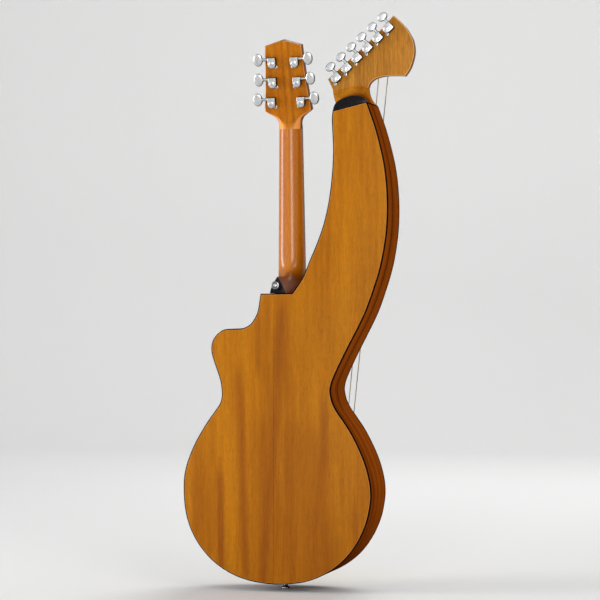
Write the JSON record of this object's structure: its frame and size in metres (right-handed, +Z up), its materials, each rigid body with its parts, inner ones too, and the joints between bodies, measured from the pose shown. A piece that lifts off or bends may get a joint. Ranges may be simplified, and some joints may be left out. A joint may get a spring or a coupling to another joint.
{
  "type": "harp guitar",
  "caption": "Harp guitar: a cutaway guitar body with a fretted neck, whose bass side rises into a hollow arm with its own head for open bass strings.",
  "frame": {"origin": "centre of the tail strap button's outer end face, at the lowest point of the instrument", "axes": "+Z runs up the neck to the head, the strings and soundboard face -Y, the back faces +Y, the treble side is +X and the harp arm is on the -X side"},
  "size_m": [0.422, 0.1323, 1.0628],
  "materials": {
    "spruce": "gloss",
    "mahogany": "satin, open grain",
    "dark_mahogany": "gloss",
    "neck_mahogany": "gloss",
    "inner_wood": "raw",
    "brace_spruce": "raw",
    "binding": "gloss",
    "gloss_black": "gloss",
    "ebony": "satin",
    "rosewood": "gloss",
    "bone": "polished",
    "chrome": "polished",
    "bronze_wire": "wound wire"
  },
  "bodies": {
    "body": {"soundboard": "spruce", "back_plate": "mahogany", "top_binding": "binding", "back_binding": "binding", "rim_treble": "dark_mahogany", "rim_bass": "dark_mahogany", "rim_arm_inner": "dark_mahogany", "neck_block": "inner_wood", "tail_block": "inner_wood", "top_bracing": "brace_spruce", "back_bracing": "brace_spruce", "neck": "neck_mahogany", "head_veneer": "rosewood", "heel_cap": "gloss_black", "fretboard": "ebony", "neck_nut": "bone", "bridge": "ebony", "saddle": "bone", "harp_head": "neck_mahogany", "harp_head_cap": "gloss_black", "harp_nut": "bone", "neck_tuner_housing_1": "chrome", "neck_tuner_housing_2": "chrome", "neck_tuner_housing_3": "chrome", "neck_tuner_housing_4": "chrome", "neck_tuner_housing_5": "chrome", "neck_tuner_housing_6": "chrome", "harp_tuner_housing_1": "chrome", "harp_tuner_housing_2": "chrome", "harp_tuner_housing_3": "chrome", "harp_tuner_housing_4": "chrome", "harp_tuner_housing_5": "chrome", "harp_tuner_housing_6": "chrome", "strings": "bronze_wire", "tail_strap_button": "chrome", "heel_strap_button": "chrome"},
    "neck_button_1": {"neck_tuner_button_1": "chrome"},
    "neck_post_1": {"neck_tuner_post_1": "chrome"},
    "neck_button_2": {"neck_tuner_button_2": "chrome"},
    "neck_post_2": {"neck_tuner_post_2": "chrome"},
    "neck_button_3": {"neck_tuner_button_3": "chrome"},
    "neck_post_3": {"neck_tuner_post_3": "chrome"},
    "neck_button_4": {"neck_tuner_button_4": "chrome"},
    "neck_post_4": {"neck_tuner_post_4": "chrome"},
    "neck_button_5": {"neck_tuner_button_5": "chrome"},
    "neck_post_5": {"neck_tuner_post_5": "chrome"},
    "neck_button_6": {"neck_tuner_button_6": "chrome"},
    "neck_post_6": {"neck_tuner_post_6": "chrome"},
    "harp_button_1": {"harp_tuner_button_1": "chrome"},
    "harp_post_1": {"harp_tuner_post_1": "chrome"},
    "harp_button_2": {"harp_tuner_button_2": "chrome"},
    "harp_post_2": {"harp_tuner_post_2": "chrome"},
    "harp_button_3": {"harp_tuner_button_3": "chrome"},
    "harp_post_3": {"harp_tuner_post_3": "chrome"},
    "harp_button_4": {"harp_tuner_button_4": "chrome"},
    "harp_post_4": {"harp_tuner_post_4": "chrome"},
    "harp_button_5": {"harp_tuner_button_5": "chrome"},
    "harp_post_5": {"harp_tuner_post_5": "chrome"},
    "harp_button_6": {"harp_tuner_button_6": "chrome"},
    "harp_post_6": {"harp_tuner_post_6": "chrome"}
  },
  "joints": [
    {"name": "neck_button_1_turn", "type": "hinge", "parent": "body", "child": "neck_button_1", "pos_m": [0.0217, -0.01038, 0.9798], "axis": [1, 0, 0], "continuous": true},
    {"name": "neck_post_1_turn", "type": "hinge", "parent": "body", "child": "neck_post_1", "pos_m": [0.0217, -0.01773, 0.97292], "axis": [0, 0.9681, -0.2504], "continuous": true},
    {"name": "neck_button_2_turn", "type": "hinge", "parent": "body", "child": "neck_button_2", "pos_m": [0.02356, -0.01972, 0.94369], "axis": [1, 0, 0], "continuous": true},
    {"name": "neck_post_2_turn", "type": "hinge", "parent": "body", "child": "neck_post_2", "pos_m": [0.02356, -0.02707, 0.93681], "axis": [0, 0.9681, -0.2504], "continuous": true},
    {"name": "neck_button_3_turn", "type": "hinge", "parent": "body", "child": "neck_button_3", "pos_m": [0.02841, -0.02906, 0.90758], "axis": [1, 0, 0], "continuous": true},
    {"name": "neck_post_3_turn", "type": "hinge", "parent": "body", "child": "neck_post_3", "pos_m": [0.02841, -0.03641, 0.9007], "axis": [0, 0.9681, -0.2504], "continuous": true},
    {"name": "neck_button_4_turn", "type": "hinge", "parent": "body", "child": "neck_button_4", "pos_m": [-0.0217, -0.01038, 0.9798], "axis": [-1, 0, 0], "continuous": true},
    {"name": "neck_post_4_turn", "type": "hinge", "parent": "body", "child": "neck_post_4", "pos_m": [-0.0217, -0.01773, 0.97292], "axis": [0, 0.9681, -0.2504], "continuous": true},
    {"name": "neck_button_5_turn", "type": "hinge", "parent": "body", "child": "neck_button_5", "pos_m": [-0.02356, -0.01972, 0.94369], "axis": [-1, 0, 0], "continuous": true},
    {"name": "neck_post_5_turn", "type": "hinge", "parent": "body", "child": "neck_post_5", "pos_m": [-0.02356, -0.02707, 0.93681], "axis": [0, 0.9681, -0.2504], "continuous": true},
    {"name": "neck_button_6_turn", "type": "hinge", "parent": "body", "child": "neck_button_6", "pos_m": [-0.02841, -0.02906, 0.90758], "axis": [-1, 0, 0], "continuous": true},
    {"name": "neck_post_6_turn", "type": "hinge", "parent": "body", "child": "neck_post_6", "pos_m": [-0.02841, -0.03641, 0.9007], "axis": [0, 0.9681, -0.2504], "continuous": true},
    {"name": "harp_button_1_turn", "type": "hinge", "parent": "body", "child": "harp_button_1", "pos_m": [-0.09899, -0.0376, 0.94816], "axis": [0.6629, 0, 0.7487], "continuous": true},
    {"name": "harp_post_1_turn", "type": "hinge", "parent": "body", "child": "harp_post_1", "pos_m": [-0.09263, -0.043, 0.94252], "axis": [0, 1, 0], "continuous": true},
    {"name": "harp_button_2_turn", "type": "hinge", "parent": "body", "child": "harp_button_2", "pos_m": [-0.11898, -0.0376, 0.96586], "axis": [0.6629, 0, 0.7487], "continuous": true},
    {"name": "harp_post_2_turn", "type": "hinge", "parent": "body", "child": "harp_post_2", "pos_m": [-0.11262, -0.043, 0.96022], "axis": [0, 1, 0], "continuous": true},
    {"name": "harp_button_3_turn", "type": "hinge", "parent": "body", "child": "harp_button_3", "pos_m": [-0.13897, -0.0376, 0.98355], "axis": [0.6629, 0, 0.7487], "continuous": true},
    {"name": "harp_post_3_turn", "type": "hinge", "parent": "body", "child": "harp_post_3", "pos_m": [-0.13261, -0.043, 0.97792], "axis": [0, 1, 0], "continuous": true},
    {"name": "harp_button_4_turn", "type": "hinge", "parent": "body", "child": "harp_button_4", "pos_m": [-0.15896, -0.0376, 1.00125], "axis": [0.6629, 0, 0.7487], "continuous": true},
    {"name": "harp_post_4_turn", "type": "hinge", "parent": "body", "child": "harp_post_4", "pos_m": [-0.1526, -0.043, 0.99562], "axis": [0, 1, 0], "continuous": true},
    {"name": "harp_button_5_turn", "type": "hinge", "parent": "body", "child": "harp_button_5", "pos_m": [-0.17896, -0.0376, 1.01895], "axis": [0.6629, 0, 0.7487], "continuous": true},
    {"name": "harp_post_5_turn", "type": "hinge", "parent": "body", "child": "harp_post_5", "pos_m": [-0.17259, -0.043, 1.01332], "axis": [0, 1, 0], "continuous": true},
    {"name": "harp_button_6_turn", "type": "hinge", "parent": "body", "child": "harp_button_6", "pos_m": [-0.19895, -0.0376, 1.03665], "axis": [0.6629, 0, 0.7487], "continuous": true},
    {"name": "harp_post_6_turn", "type": "hinge", "parent": "body", "child": "harp_post_6", "pos_m": [-0.19258, -0.043, 1.03102], "axis": [0, 1, 0], "continuous": true}
  ],
  "couplings": [
    {"joint": "neck_post_1_turn", "follows": "neck_button_1_turn", "ratio": 0.055556},
    {"joint": "neck_post_2_turn", "follows": "neck_button_2_turn", "ratio": 0.055556},
    {"joint": "neck_post_3_turn", "follows": "neck_button_3_turn", "ratio": 0.055556},
    {"joint": "neck_post_4_turn", "follows": "neck_button_4_turn", "ratio": -0.055556},
    {"joint": "neck_post_5_turn", "follows": "neck_button_5_turn", "ratio": -0.055556},
    {"joint": "neck_post_6_turn", "follows": "neck_button_6_turn", "ratio": -0.055556},
    {"joint": "harp_post_1_turn", "follows": "harp_button_1_turn", "ratio": 0.055556},
    {"joint": "harp_post_2_turn", "follows": "harp_button_2_turn", "ratio": 0.055556},
    {"joint": "harp_post_3_turn", "follows": "harp_button_3_turn", "ratio": 0.055556},
    {"joint": "harp_post_4_turn", "follows": "harp_button_4_turn", "ratio": 0.055556},
    {"joint": "harp_post_5_turn", "follows": "harp_button_5_turn", "ratio": 0.055556},
    {"joint": "harp_post_6_turn", "follows": "harp_button_6_turn", "ratio": 0.055556}
  ]
}
